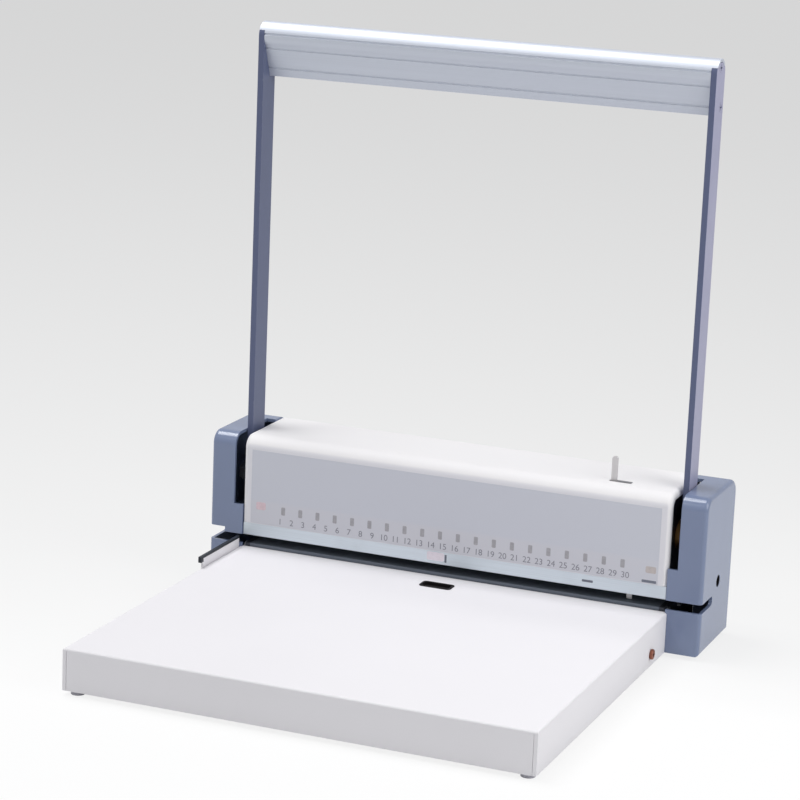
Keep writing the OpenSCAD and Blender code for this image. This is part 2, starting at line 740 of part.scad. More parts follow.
// Chip drawer
module chip_drawer() color("darkslategray") at_head() difference() {
  union() {
    block([-drawer_half, drawer_y0, base_top + drawer_lift], [drawer_half, drawer_y1 + over, drawer_top]);
    block([-drawer_panel_half, drawer_y1, base_top + drawer_lift],
      [drawer_panel_half, drawer_y1 + drawer_panel_t, drawer_top]);
  }
  block([-drawer_half + drawer_wall, drawer_y0 + drawer_wall, base_top + drawer_lift + drawer_wall],
    [drawer_half - drawer_wall, drawer_y1, drawer_top + over]);
  rod_y(pull_r, drawer_y1 - over, head_d, 0, drawer_top);
}

// Folded table, outside or one sheet further in: seen from the side, from the front, and whole
module table_side(inset) difference() {
  translate([-table_d + inset, table_z + inset])
    square([table_d + table_end, table_top - table_z - 2 * inset]);
  translate([-table_d + table_fold, table_top - table_fold]) mirror([1, 0]) corner(table_fold - inset);
}
module table_front(inset) difference() {
  translate([-table_half + inset, table_z + inset])
    square([2 * (table_half - inset), table_top - table_z - 2 * inset]);
  for (s = [0, 1]) mirror([s, 0])
    translate([table_half - table_fold, table_top - table_fold]) corner(table_fold - inset);
}
module table_form(inset) intersection() {
  extrude_x(-table_half, table_half) table_side(inset);
  extrude_y(-table_d, table_end + inset) table_front(inset);
}
module table() color("whitesmoke") at_head() difference() {
  table_form(0);
  table_form(table_t);
  block([-table_half + table_lip, -table_d + table_lip, table_z - over],
    [table_half - table_lip, table_end + over, table_z + table_t + over]);
  both_sides() {
    block([half - end_gap, -face_gap, table_z - over],
      [table_half + over, table_end + over, table_top + over]);
    block([table_half - seam_in - seam, -table_d - over, table_z - over],
      [table_half - seam_in, -table_d + seam_depth, table_top - table_fold]);
    rod_x(m4[0] + screw_fit, frame_out, table_half + over, table_screw_y, table_screw_z);
  }
  for (y = fence_screws_y) rod_x(m3[0] + screw_fit, -table_half - over, -frame_out, y, fence_screw_z);
  translate([0, insert_y, table_top - table_t - over]) linear_extrude(table_t + 2 * over)
    rounded(insert_l - 2 * insert_rim, insert_w - 2 * insert_rim, insert_round - insert_rim);
}
module table_feet() color("black") at_head()
  for (s = [-1, 1])
    rod_z(table_foot_r, 0, table_z, s * (table_half - table_foot_in), -table_d + table_foot_in);
module table_insert() color("black") at_head() translate([0, insert_y, table_top]) difference() {
  union() {
    linear_extrude(insert_h) rounded(insert_l, insert_w, insert_round);
    translate([0, 0, -insert_depth]) linear_extrude(insert_depth + insert_h / 2)
      rounded(insert_l - 2 * (insert_rim + screw_fit), insert_w - 2 * (insert_rim + screw_fit),
        insert_round - insert_rim - screw_fit);
  }
  translate([0, 0, insert_floor - insert_depth]) linear_extrude(insert_depth + over)
    rounded(insert_l - 2 * insert_wall, insert_w - 2 * insert_wall, insert_round - insert_rim);
}
module table_screws() color("saddlebrown") at_head() both_sides()
  screw_x(m4, table_half, table_half - frame_in, table_screw_y, table_screw_z);
module fence() color("whitesmoke") at_head() difference() {
  block([-table_half - fence_t, fence_front, table_top - fence_drop], [-table_half, fence_end, fence_top]);
  for (y = fence_screws_y)
    rod_x(m3[0] + screw_fit, -table_half - fence_t - over, -table_half + over, y, fence_screw_z);
}
module fence_trim() color("black") at_head() difference() {
  union() {
    block([-table_half - fence_t - trim, fence_front, fence_top - 2 * trim],
      [-table_half + trim, fence_end, fence_top + trim]);
    block([-table_half - fence_t - trim, fence_front - nose_l, fence_top + trim - nose_h],
      [-table_half + trim, fence_front, fence_top + trim]);
  }
  block([-table_half - fence_t, fence_front, table_top], [-table_half, fence_end + over, fence_top]);
}
module fence_screws() color("silver") at_head() for (y = fence_screws_y) mirror([1, 0, 0])
  screw_x(m3, table_half + fence_t, fence_t + table_t + over, y, fence_screw_z);

base_plate();
base_feet();
side_frame_left();
side_frame_right();
rear_tie_bars();
frame_screws();
die_plate();
back_stop();
guide_plate();
guide_posts();
spring_left();
spring_right();
pin_holder();
punch_pins();
punch_beam();
beam_screws();
lever_shaft();
shaft_bushes();
cam_left();
cam_right();
cam_pins();
lever_arm_left();
lever_arm_right();
shaft_washers();
shaft_nuts();
handle_bar();
handle_screws();
hood();
scale_strip();
throat_lip();
rear_cover();
cover_screws();
end_cap_left();
end_cap_right();
cap_screws();
edge_stop();
stop_studs();
chip_drawer();
table();
table_feet();
table_insert();
table_screws();
fence();
fence_trim();
fence_screws();
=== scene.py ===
import json
import math

import bmesh
import bpy
from mathutils import Matrix, Vector


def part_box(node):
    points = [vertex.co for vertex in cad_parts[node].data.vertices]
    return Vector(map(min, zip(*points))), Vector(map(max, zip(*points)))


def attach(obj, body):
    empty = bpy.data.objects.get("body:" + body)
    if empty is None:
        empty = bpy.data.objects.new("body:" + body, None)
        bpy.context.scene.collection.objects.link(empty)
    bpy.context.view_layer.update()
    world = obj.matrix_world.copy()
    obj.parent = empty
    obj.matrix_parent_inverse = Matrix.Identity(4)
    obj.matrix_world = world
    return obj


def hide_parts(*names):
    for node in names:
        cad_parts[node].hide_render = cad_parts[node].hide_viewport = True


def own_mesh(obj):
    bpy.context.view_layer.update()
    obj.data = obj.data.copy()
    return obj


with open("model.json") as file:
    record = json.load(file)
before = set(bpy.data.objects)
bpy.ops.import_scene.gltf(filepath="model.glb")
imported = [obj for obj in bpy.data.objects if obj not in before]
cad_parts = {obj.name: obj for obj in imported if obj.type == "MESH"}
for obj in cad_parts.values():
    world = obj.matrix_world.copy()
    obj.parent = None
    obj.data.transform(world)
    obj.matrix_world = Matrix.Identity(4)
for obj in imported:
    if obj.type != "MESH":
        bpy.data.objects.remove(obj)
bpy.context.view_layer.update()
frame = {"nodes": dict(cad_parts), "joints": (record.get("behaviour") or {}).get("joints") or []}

MM = 0.001
X, Y, Z = range(3)

# Camera: it looks down on the punch from the front, a little from its right
VIEW_AZIMUTH = math.radians(21.61)
VIEW_ELEVATION = math.radians(13.49)
VIEW_ROLL = math.radians(2.38)
VIEW_DISTANCE = 2.08733
VIEW_TARGET = Vector((-0.0491, 0.11509, 0.16141))
LENS_MM = 125.83
SENSOR_MM = 36


def camera():
    back = Vector((
        math.sin(VIEW_AZIMUTH) * math.cos(VIEW_ELEVATION),
        -math.cos(VIEW_AZIMUTH) * math.cos(VIEW_ELEVATION),
        math.sin(VIEW_ELEVATION)))
    right = (-back).cross(Vector((0, 0, 1))).normalized()
    up = right.cross(-back)
    tilted_right = right * math.cos(VIEW_ROLL) + up * math.sin(VIEW_ROLL)
    tilted_up = up * math.cos(VIEW_ROLL) - right * math.sin(VIEW_ROLL)
    made = bpy.data.objects.new("camera", bpy.data.cameras.new("camera"))
    turn = Matrix((tilted_right, tilted_up, back)).transposed().to_4x4()
    made.matrix_world = Matrix.Translation(VIEW_TARGET + back * VIEW_DISTANCE) @ turn
    made.data.lens = LENS_MM
    made.data.sensor_width = SENSOR_MM
    bpy.context.scene.collection.objects.link(made)
    bpy.context.scene.camera = made


camera()

# Print: thickness over its face, depth below it, rounding as a share of the short side, steps in a corner
PRINT_T = 0.04 * MM
PRINT_SINK = 0.08 * MM
PRINT_ROUND = 0.22
PRINT_STEPS = 4

# Scale on the film: feet are heights above the film's lower edge
HOLE_COUNT = 30
HOLE_PITCH = 9.5 * MM
DIGIT_FOOT = 1.8 * MM
DIGIT_H = 4.6 * MM
DIGIT_SHARE_OF_FONT = 0.7
BAR_PITCH = 1.5 * HOLE_PITCH
BAR_COUNT = 20
BAR_W = 3.2 * MM
BAR_FOOT = 9.2 * MM
BAR_H = 6.2 * MM

# Paler band on the film: foot and top above the film's lower edge, and the heights over which it fades
BAND_FOOT = 0.4 * MM
BAND_TOP = 20 * MM
BAND_FOOT_FADE = 0.6 * MM
BAND_TOP_FADE = 4 * MM

# Single marks on the film and on the lip: middle in x, foot above what carries it, width, height
LEFT_END_MARK = (-154 * MM, 11 * MM, 8 * MM, 6 * MM)
RIGHT_END_MARK = (157 * MM, 8 * MM, 8 * MM, 5 * MM)
RIGHT_UNDERLINE = (156 * MM, 0.6 * MM, 11 * MM, 2 * MM)
MIDDLE_PATCH = (-10.5 * MM, 2.4 * MM, 14 * MM, 6.6 * MM)
MIDDLE_DASH = (-2.4 * MM, 2 * MM, 1.6 * MM, 6 * MM)
STOP_DASH = (109 * MM, 4 * MM, 8.5 * MM, 1.8 * MM)

# Return springs: turns, wire radius, gap in the dead end turns, steps in a turn, sides of the wire
SPRING_TURNS = 7
WIRE_R = 0.6 * MM
DEAD_GAP = 0.05 * MM
TURN_STEPS = 28
WIRE_SIDES = 10

# Black sleeves that paint shade into the caps' recesses: radius, wall, distance below the caps' faces, sides
SLEEVE_R = 4.55 * MM
SLEEVE_T = 0.5 * MM
SLEEVE_SET = 0.3 * MM
SLEEVE_SIDES = 48

# Foam strips behind the throat's ends: width, depth, lower and upper end, rounding and its steps
SEAL_W = 2.2 * MM
SEAL_D = 4 * MM
SEAL_Z = (8 * MM, 32 * MM)
SEAL_ROUND = 0.4 * MM
SEAL_STEPS = 3

# Cross recesses of the screws: length of the arms, width of the arms, depth
CROSS_M4 = (4.4 * MM, 1.0 * MM, 1.2 * MM)
CROSS_M3 = (3.2 * MM, 0.8 * MM, 0.7 * MM)

# Wear along edges: rays that look for an edge, and the turn of a face at which wear starts and is full
EDGE_RAYS = 4
EDGE_TURN = (0.01, 0.2)


def colour(red, green, blue):
    """A screen colour of 0 to 255 as the linear values that shaders take."""
    def linear(value):
        share = value / 255
        return share / 12.92 if share <= 0.04045 else ((share + 0.055) / 1.055) ** 2.4
    return (linear(red), linear(green), linear(blue), 1)


def shade(tone, amount):
    """The same colour, lighter or darker."""
    return (tone[0] * amount, tone[1] * amount, tone[2] * amount, 1)


class Signal:
    """A socket's value, for use in Python expressions."""

    def __init__(self, nodes, socket):
        self.nodes = nodes
        self.socket = socket

    def maths(self, operation, first, second):
        return self.nodes.node("ShaderNodeMath", {"operation": operation}, {0: first, 1: second})

    def __add__(self, other):
        return self.maths("ADD", self, other)

    def __radd__(self, other):
        return self.maths("ADD", other, self)

    def __sub__(self, other):
        return self.maths("SUBTRACT", self, other)

    def __rsub__(self, other):
        return self.maths("SUBTRACT", other, self)

    def __mul__(self, other):
        return self.maths("MULTIPLY", self, other)

    def __rmul__(self, other):
        return self.maths("MULTIPLY", other, self)

    def __truediv__(self, other):
        return self.maths("DIVIDE", self, other)

    def __rtruediv__(self, other):
        return self.maths("DIVIDE", other, self)

    def __pow__(self, other):
        return self.maths("POWER", self, other)

    def __rpow__(self, other):
        return self.maths("POWER", other, self)


class Nodes:
    """The node tree of a finish, of the floor or of the world."""

    def __init__(self, tree):
        self.tree = tree
        tree.nodes.clear()

    def node(self, kind, settings=None, sockets=None, out=0):
        """Adds a node: its settings are set first, then its sockets get values or links."""
        made = self.tree.nodes.new(kind)
        for name, value in (settings or {}).items():
            setattr(made, name, value)
        for key, value in (sockets or {}).items():
            if isinstance(value, Signal):
                self.tree.links.new(value.socket, made.inputs[key])
            else:
                made.inputs[key].default_value = value
        return Signal(self, made.outputs[out]) if made.outputs else None

    def mix(self, share, first, second):
        """The first colour at a share of 0, the second at 1."""
        return self.node("ShaderNodeMix", {"data_type": "RGBA"}, {0: share, 6: first, 7: second}, 2)

    def between(self, value, low, high):
        """0 up to low, 1 from high on, and a smooth step between them."""
        limits = {"Value": value, "From Min": low, "From Max": high}
        return self.node("ShaderNodeMapRange", {"interpolation_type": "SMOOTHSTEP"}, limits)

    def geometry(self, out):
        return self.node("ShaderNodeNewGeometry", {}, {}, out)

    def place(self, stretch=(1, 1, 1)):
        """The piece's own coordinates in metres, stretched."""
        point = self.node("ShaderNodeTexCoord", {}, {}, "Object")
        return self.node("ShaderNodeVectorMath", {"operation": "MULTIPLY"}, {0: point, 1: stretch})

    def part_of(self, vector, axis):
        return self.node("ShaderNodeSeparateXYZ", {}, {0: vector}, axis)

    def noise(self, scale, detail=2, stretch=(1, 1, 1)):
        sockets = {"Vector": self.place(stretch), "Scale": scale, "Detail": detail}
        return self.node("ShaderNodeTexNoise", {}, sockets, "Fac")

    def cells(self, scale):
        return self.node("ShaderNodeTexVoronoi", {}, {"Vector": self.place(), "Scale": scale}, "Distance")

    def edges(self, radius):
        """1 along outer and inner edges, 0 on open faces."""
        rounded = self.node("ShaderNodeBevel", {"samples": EDGE_RAYS}, {"Radius": radius})
        normals = {0: rounded, 1: self.geometry("Normal")}
        level = self.node("ShaderNodeVectorMath", {"operation": "DOT_PRODUCT"}, normals, "Value")
        return self.between(1 - level, *EDGE_TURN)

    def bump(self, height, strength, distance):
        return self.node("ShaderNodeBump", {}, {"Strength": strength, "Distance": distance, "Height": height})

    def surface(self, base, roughness, normal, constants):
        """Ends the tree with one shader; the constants sit on the shader's own sockets."""
        sockets = {"Base Color": base, "Roughness": roughness, "Normal": normal, **constants}
        shader = self.node("ShaderNodeBsdfPrincipled", {}, sockets)
        self.node("ShaderNodeOutputMaterial", {}, {"Surface": shader})


def new_finish(name):
    material = bpy.data.materials.new(name)
    material.use_nodes = True
    return material, Nodes(material.node_tree)


def sheet_paint(name, tone, shaded_front_tone, peel_strength, roughness, shine):
    """Stoved paint on folded sheet: clouds, orange peel, dust, thin on edges, and a greyer tone painted on
    faces turned to the front as painted shade.
    """
    material, n = new_finish(name)
    cloud = n.noise(scale=7, detail=3)
    peel = n.noise(scale=650, detail=1)
    dust = n.noise(scale=2800, detail=2)
    specks = 0.2 * n.between(dust, 0.7, 0.85)
    worn = 0.3 * n.edges(0.9 * MM) * n.between(n.noise(scale=140, detail=4), 0.5, 0.72)
    # Painted shade: faces turned to the front take the greyer shaded front tone
    front = n.between(0 - n.part_of(n.geometry("Normal"), "Y"), 0.9, 0.99)
    darker = n.mix(front, shade(tone, 0.975), shade(shaded_front_tone, 0.975))
    lighter = n.mix(front, shade(tone, 1.02), shade(shaded_front_tone, 1.02))
    base = n.mix(cloud, darker, lighter)
    base = n.mix(specks, base, shade(tone, 0.85))
    base = n.mix(worn, base, shade(tone, 0.78))
    relief = n.bump(peel + 0.25 * dust, strength=peel_strength, distance=0.25 * MM)
    n.surface(base, roughness + 0.1 * cloud + 0.06 * dust, relief, {"Specular IOR Level": shine})
    return material


def moulded_plastic(name, tone, grain_strength, roughness, shine):
    """Moulded plastic with a spark-eroded grain, rubbed lighter on the edges."""
    material, n = new_finish(name)
    cloud = n.noise(scale=11, detail=3)
    flow = n.noise(scale=38, detail=4, stretch=(1, 1, 0.25))
    grain = n.cells(scale=1500)
    fine_grain = n.noise(scale=3200)
    rubbed = 0.35 * n.edges(1.1 * MM) * n.between(n.noise(scale=90, detail=4), 0.35, 0.75)
    base = n.mix(0.6 * cloud + 0.4 * flow, shade(tone, 0.93), shade(tone, 1.06))
    base = n.mix(rubbed, base, shade(tone, 1.45))
    relief = n.bump(grain + 0.4 * fine_grain, strength=grain_strength, distance=0.12 * MM)
    n.surface(base, roughness + 0.06 * cloud + 0.08 * grain, relief, {"Specular IOR Level": shine})
    return material


def arm_paint(painted_shade_tone, painted_light_tone, chip_tone):
    """Blue-grey paint on flat bar, chipped on the edges; its outer faces are painted lighter and its inner
    faces and edges darker, as painted light and shade.
    """
    material, n = new_finish("arm_paint")
    # Painted light and shade: outer faces take the light tone, inner faces and edges the shaded tone
    outward = n.part_of(n.geometry("True Normal"), "X") * n.part_of(n.geometry("Position"), "X")
    painted_light_mask = n.between(outward, 0.08, 0.16)
    cloud = n.noise(scale=16, detail=3)
    streak = n.noise(scale=1, detail=3, stretch=(900, 900, 9))
    hammer = n.cells(scale=420)
    fine_grain = n.noise(scale=1600)
    chip = n.edges(0.8 * MM) * n.between(n.noise(scale=210, detail=4), 0.6, 0.66)
    base = n.mix(painted_light_mask, painted_shade_tone, painted_light_tone)
    base = n.mix(0.3 * cloud + 0.15 * streak, base, shade(painted_shade_tone, 1.1))
    base = n.mix(0.6 * chip, base, chip_tone)
    relief = n.bump(0.5 * hammer + streak + 0.3 * fine_grain, strength=0.1, distance=0.15 * MM)
    n.surface(base, 0.32 + 0.12 * cloud + 0.1 * chip, relief, {"Specular IOR Level": 0.4})
    return material


def handle_aluminium(tone, rubbed_tone):
    """Satin anodised extrusion: die lines along its length, rubbed bright where hands hold it."""
    material, n = new_finish("handle_aluminium")
    lines = n.noise(scale=1, detail=3, stretch=(5, 1300, 1300))
    broad_lines = n.noise(scale=1, detail=2, stretch=(2, 160, 160))
    cloud = n.noise(scale=14, detail=3)
    fine_grain = n.noise(scale=2600)
    edge = n.edges(0.7 * MM)
    base = n.mix(0.6 * lines + 0.4 * broad_lines, shade(tone, 0.9), shade(tone, 1.06))
    base = n.mix(0.4 * edge, base, rubbed_tone)
    relief = n.bump(lines + 0.3 * fine_grain, strength=0.08, distance=0.1 * MM)
    n.surface(base, 0.4 + 0.1 * lines + 0.08 * cloud - 0.08 * edge, relief, {"Metallic": 0.55})
    return material


def ground_steel(name, tone, roughness, stretch, metal=1):
    """Bare or plated steel with grinding marks along one direction."""
    material, n = new_finish(name)
    marks = n.noise(scale=1, detail=3, stretch=stretch)
    cloud = n.noise(scale=24, detail=4)
    fine_grain = n.noise(scale=1900)
    stain = 0.3 * n.between(cloud, 0.55, 0.75)
    edge = n.edges(0.6 * MM)
    base = n.mix(marks, shade(tone, 0.84), shade(tone, 1.08))
    base = n.mix(stain, base, shade(tone, 0.7))
    base = n.mix(0.5 * edge, base, shade(tone, 1.25))
    relief = n.bump(marks + 0.2 * fine_grain, strength=0.1, distance=0.08 * MM)
    n.surface(base, roughness + 0.14 * marks + 0.08 * cloud, relief, {"Metallic": metal})
    return material


def foot_rubber(name, tone, dusty_tone):
    """Moulded rubber, dusty where it has been handled."""
    material, n = new_finish(name)
    bloom = 0.5 * n.between(n.noise(scale=60, detail=4), 0.45, 0.75)
    pores = n.noise(scale=2400, detail=2)
    relief = n.bump(pores, strength=0.25, distance=0.12 * MM)
    n.surface(n.mix(bloom, tone, dusty_tone), 0.72 + 0.15 * pores, relief, {"Specular IOR Level": 0.3})
    return material


def printed_film(tone, band_tone):
    """The film on the hood's front: satin, with a paler printed band along its lower edge."""
    material, n = new_finish("printed_film")
    film_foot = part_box("scale_strip")[0].z
    low = film_foot + BAND_FOOT
    high = film_foot + BAND_TOP
    height = n.part_of(n.place(), "Z")
    band = n.between(height, low - BAND_FOOT_FADE, low) * (1 - n.between(height, high - BAND_TOP_FADE, high))
    cloud = n.noise(scale=9, detail=3)
    fibre = n.noise(scale=1, detail=2, stretch=(300, 300, 1500))
    dust = n.noise(scale=2600, detail=2)
    specks = 0.2 * n.between(dust, 0.7, 0.85)
    base = n.mix(band * (0.55 + 0.4 * cloud), tone, band_tone)
    base = n.mix(0.5 * cloud + 0.2 * fibre, shade(tone, 0.97), base)
    base = n.mix(specks, base, shade(tone, 0.86))
    relief = n.bump(fibre + 0.4 * dust, strength=0.03, distance=0.05 * MM)
    n.surface(base, 0.42 + 0.08 * cloud + 0.06 * dust, relief, {"Specular IOR Level": 0.3})
    return material


def scale_print(name, tone, cover):
    """Printing ink on the film and the lip: not quite solid, and thin in places."""
    material, n = new_finish(name)
    full = n.between(n.noise(scale=520, detail=3), 0.35, 0.65)
    base = n.mix(cover * full, shade(tone, 1.12), tone)
    relief = n.bump(full, strength=0.05, distance=0.02 * MM)
    n.surface(base, 0.5 + 0.1 * full, relief, {"Specular IOR Level": 0.35})
    return material


# Paints: tone, painted shade on faces turned to the front, orange peel, roughness, shine
HOOD_TONE = colour(243, 241, 242)
# Painted shade: the greyer tone of the hood's front faces
HOOD_PAINTED_FRONT_SHADE = colour(227, 226, 231)
TABLE_TONE = colour(234, 232, 235)
hood_paint = sheet_paint("hood_paint", HOOD_TONE, HOOD_PAINTED_FRONT_SHADE, 0.05, 0.46, 0.2)
table_paint = sheet_paint("table_paint", TABLE_TONE, TABLE_TONE, 0.06, 0.56, 0.16)
# Arm paint: painted shade on inner faces and edges, painted light on outer faces, chip tone
blue_paint = arm_paint(colour(90, 98, 128), colour(166, 165, 191), colour(168, 170, 176))
anodised = handle_aluminium(colour(201, 206, 217), colour(232, 234, 238))

# Plastics: tone, grain, roughness, shine
cap_plastic = moulded_plastic("cap_plastic", colour(118, 131, 161), 0.05, 0.13, 0.7)
drawer_plastic = moulded_plastic("drawer_plastic", colour(70, 76, 88), 0.2, 0.32, 0.45)
insert_plastic = moulded_plastic("insert_plastic", colour(19, 15, 16), 0.2, 0.5, 0.2)
trim_plastic = moulded_plastic("trim_plastic", colour(38, 43, 50), 0.15, 0.4, 0.35)
black_rubber = foot_rubber("black_rubber", colour(26, 26, 28), colour(62, 62, 64))
pale_rubber = foot_rubber("pale_rubber", colour(196, 195, 204), colour(178, 177, 182))

# Steels: tone, roughness, direction of the grinding marks, share of bare metal
ALONG_X = (12, 1500, 1500)
ALONG_Y = (1500, 12, 1500)
ALONG_Z = (1500, 1500, 12)
side_steel = ground_steel("side_steel", colour(84, 87, 94), 0.42, ALONG_Z)
frame_steel = ground_steel("frame_steel", colour(150, 153, 158), 0.36, ALONG_Z)
tool_steel = ground_steel("tool_steel", colour(132, 136, 142), 0.26, ALONG_X)
stop_black = ground_steel("stop_black", colour(64, 68, 76), 0.34, ALONG_X)
die_steel = ground_steel("die_steel", colour(112, 119, 130), 0.5, ALONG_X, 0.3)
guide_steel = ground_steel("guide_steel", colour(196, 200, 206), 0.45, ALONG_X, 0.3)
spring_steel = ground_steel("spring_steel", colour(120, 122, 126), 0.3, ALONG_Z)
screw_steel = ground_steel("screw_steel", colour(176, 178, 182), 0.28, ALONG_Y)
lip_steel = ground_steel("lip_steel", colour(214, 223, 230), 0.34, ALONG_X)
stop_steel = ground_steel("stop_steel", colour(214, 212, 213), 0.42, ALONG_Z)
bronze = ground_steel("bush_bronze", colour(138, 104, 66), 0.34, ALONG_Y)
copper_plate = ground_steel("copper_screw", colour(150, 98, 82), 0.36, ALONG_Y)
black_screw = ground_steel("black_screw", colour(40, 41, 44), 0.4, ALONG_Y)

# Film: tone, tone of its band. Inks: tone, cover
strip_film = printed_film(colour(207, 209, 218), colour(216, 212, 216))
grey_ink = scale_print("grey_ink", colour(164, 162, 167), 0.9)
number_ink = scale_print("number_ink", colour(134, 134, 143), 0.8)
pink_ink = scale_print("pink_ink", colour(212, 191, 197), 0.8)
brown_ink = scale_print("brown_ink", colour(186, 178, 176), 0.8)
dark_ink = scale_print("dark_ink", colour(112, 116, 128), 0.8)
white_ink = scale_print("white_ink", colour(232, 224, 232), 0.5)

# The finish of each piece; the springs get theirs where they are made
FINISHES = (
    (hood_paint, ("hood", "rear_cover")),
    (strip_film, ("scale_strip",)),
    (table_paint, ("table", "fence")),
    (blue_paint, ("lever_arm_left", "lever_arm_right", "handle_screws")),
    (anodised, ("handle_bar",)),
    (cap_plastic, ("end_cap_left", "end_cap_right")),
    (drawer_plastic, ("chip_drawer",)),
    (insert_plastic, ("table_insert",)),
    (trim_plastic, ("fence_trim",)),
    (black_rubber, ("base_feet",)),
    (pale_rubber, ("table_feet",)),
    (side_steel, ("side_frame_left", "side_frame_right")),
    (frame_steel, ("base_plate", "rear_tie_bars")),
    (tool_steel, ("guide_posts", "pin_holder", "punch_pins", "punch_beam", "lever_shaft")),
    (tool_steel, ("cam_left", "cam_right", "cam_pins")),
    (stop_black, ("back_stop",)),
    (die_steel, ("die_plate",)),
    (guide_steel, ("guide_plate",)),
    (lip_steel, ("throat_lip",)),
    (stop_steel, ("edge_stop",)),
    (bronze, ("shaft_bushes",)),
    (screw_steel, ("frame_screws", "beam_screws", "cover_screws", "fence_screws")),
    (screw_steel, ("shaft_washers", "shaft_nuts", "stop_studs")),
    (copper_plate, ("table_screws",)),
    (black_screw, ("cap_screws",)),
)

# Edges: the common width of their rounding, other widths, pieces whose edges stay sharp, steps in a rounding,
# the angle from which an edge counts, the angle up to which a face counts as flat, and the gap that is closed
EDGE_W = 0.25 * MM
EDGES = {
    "table": 0.3 * MM, "end_cap_left": 0.5 * MM, "end_cap_right": 0.5 * MM, "hood": 0.3 * MM,
    "lever_arm_left": 0.5 * MM, "lever_arm_right": 0.5 * MM, "handle_bar": 0.3 * MM,
    "table_insert": 0.4 * MM, "fence_trim": 0.4 * MM, "scale_strip": 0.1 * MM,
    "table_screws": 0.8 * MM, "cap_screws": 0.8 * MM, "fence_screws": 0.6 * MM,
}
SHARP_EDGED = ("cover_screws", "handle_screws")
EDGE_STEPS = 3
EDGE_ANGLE = math.radians(35)
FLAT_ANGLE = math.radians(0.5)
WELD_GAP = 0.005 * MM


def smooth_shading():
    """A modifier's node group that shades smoothly across all but sharp edges."""
    group = bpy.data.node_groups.new("smooth_shading", "GeometryNodeTree")
    group.interface.new_socket("Geometry", in_out="INPUT", socket_type="NodeSocketGeometry")
    group.interface.new_socket("Geometry", in_out="OUTPUT", socket_type="NodeSocketGeometry")
    n = Nodes(group)
    shape = n.node("NodeGroupInput")
    angle = n.node("GeometryNodeInputMeshEdgeAngle")
    sharp = n.node("FunctionNodeCompare", {"operation": "GREATER_THAN"}, {0: angle, 1: EDGE_ANGLE})
    normals = {"Mesh": shape, "Edge Sharpness": sharp, "Face Sharpness": False}
    shaded = n.node("GeometryNodeSetMeshNormal", {"mode": "SHARPNESS"}, normals)
    n.node("NodeGroupOutput", {}, {0: shaded})
    return group


SMOOTH = smooth_shading()


def dress(node, finish):
    """Gives a piece its finish, rounded edges and smooth shading; its own mesh stays as it is."""
    piece = frame["nodes"][node]
    piece.data.materials.clear()
    piece.data.materials.append(finish)
    weld = piece.modifiers.new("weld", "WELD")
    weld.merge_threshold = WELD_GAP
    flat = piece.modifiers.new("flat_faces", "DECIMATE")
    flat.decimate_type = "DISSOLVE"
    flat.angle_limit = FLAT_ANGLE
    if node not in SHARP_EDGED:
        edge = piece.modifiers.new("edges", "BEVEL")
        edge.width = EDGES.get(node, EDGE_W)
        edge.segments = EDGE_STEPS
        edge.limit_method = "ANGLE"
        edge.angle_limit = EDGE_ANGLE
    smooth = piece.modifiers.new("smooth", "NODES")
    smooth.node_group = SMOOTH
    even = piece.modifiers.new("even_faces", "WEIGHTED_NORMAL")
    even.keep_sharp = True


for finish, nodes in FINISHES:
    for node in nodes:
        dress(node, finish)


def new_piece(name, mesh, body, finish):
    """A new object from a finished mesh, riding on a body, with its finish."""
    piece = bpy.data.objects.new(name, bpy.data.meshes.new(name))
    mesh.to_mesh(piece.data)
    mesh.free()
    piece.data.materials.append(finish)
    bpy.context.scene.collection.objects.link(piece)
    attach(piece, body)
    return piece


def add_block(mesh, low, high):
    size = Vector(high) - Vector(low)
    middle = (Vector(high) + Vector(low)) / 2
    bmesh.ops.create_cube(mesh, size=1, matrix=Matrix.Translation(middle) @ Matrix.Diagonal((*size, 1)))


def join_loops(mesh, loops, smooth=False):
    """Faces between each loop of points and the next."""
    for near, far in zip(loops, loops[1:]):
        for i in range(len(near)):
            mesh.faces.new((near[i - 1], near[i], far[i], far[i - 1])).smooth = smooth


def separate_screws(node):
    """The points of each separate screw in a node."""
    mesh = bmesh.new()
    mesh.from_mesh(frame["nodes"][node].data)
    bmesh.ops.remove_doubles(mesh, verts=mesh.verts, dist=WELD_GAP)
    left = set(mesh.verts)
    screws = []
    while left:
        screw = [left.pop()]
        for vert in screw:
            near = {edge.other_vert(vert) for edge in vert.link_edges} & left
            left -= near
            screw.extend(near)
        screws.append([vert.co.copy() for vert in screw])
    mesh.free()
    return screws


def cut_crosses(node, axis, cross):
    """Cuts a cross recess in the outer end of each screw, along the given axis."""
    length, width, depth = cross
    across = [i for i in (X, Y, Z) if i != axis]
    cutter = bmesh.new()
    for points in separate_screws(node):
        low = Vector(min(point[i] for point in points) for i in (X, Y, Z))
        high = Vector(max(point[i] for point in points) for i in (X, Y, Z))
        end = (low + high) / 2
        end[axis] = high[axis] if end[axis] > 0 else low[axis]
        for long, short in (across, across[::-1]):
            reach = Vector((depth, depth, depth))
            reach[long] = length / 2
            reach[short] = width / 2
            add_block(cutter, end - reach, end + reach)
    tool = bpy.data.objects.new("cross_of_" + node, bpy.data.meshes.new("cross_of_" + node))
    cutter.to_mesh(tool.data)
    cutter.free()
    bpy.context.scene.collection.objects.link(tool)
    tool.hide_render = True
    tool.hide_viewport = True
    recess = frame["nodes"][node].modifiers.new("cross", "BOOLEAN")
    recess.operation = "DIFFERENCE"
    recess.object = tool
    recess.use_self = True


cut_crosses("cap_screws", X, CROSS_M4)
cut_crosses("table_screws", X, CROSS_M4)
cut_crosses("handle_screws", X, CROSS_M4)
cut_crosses("fence_screws", X, CROSS_M3)
cut_crosses("cover_screws", Y, CROSS_M3)


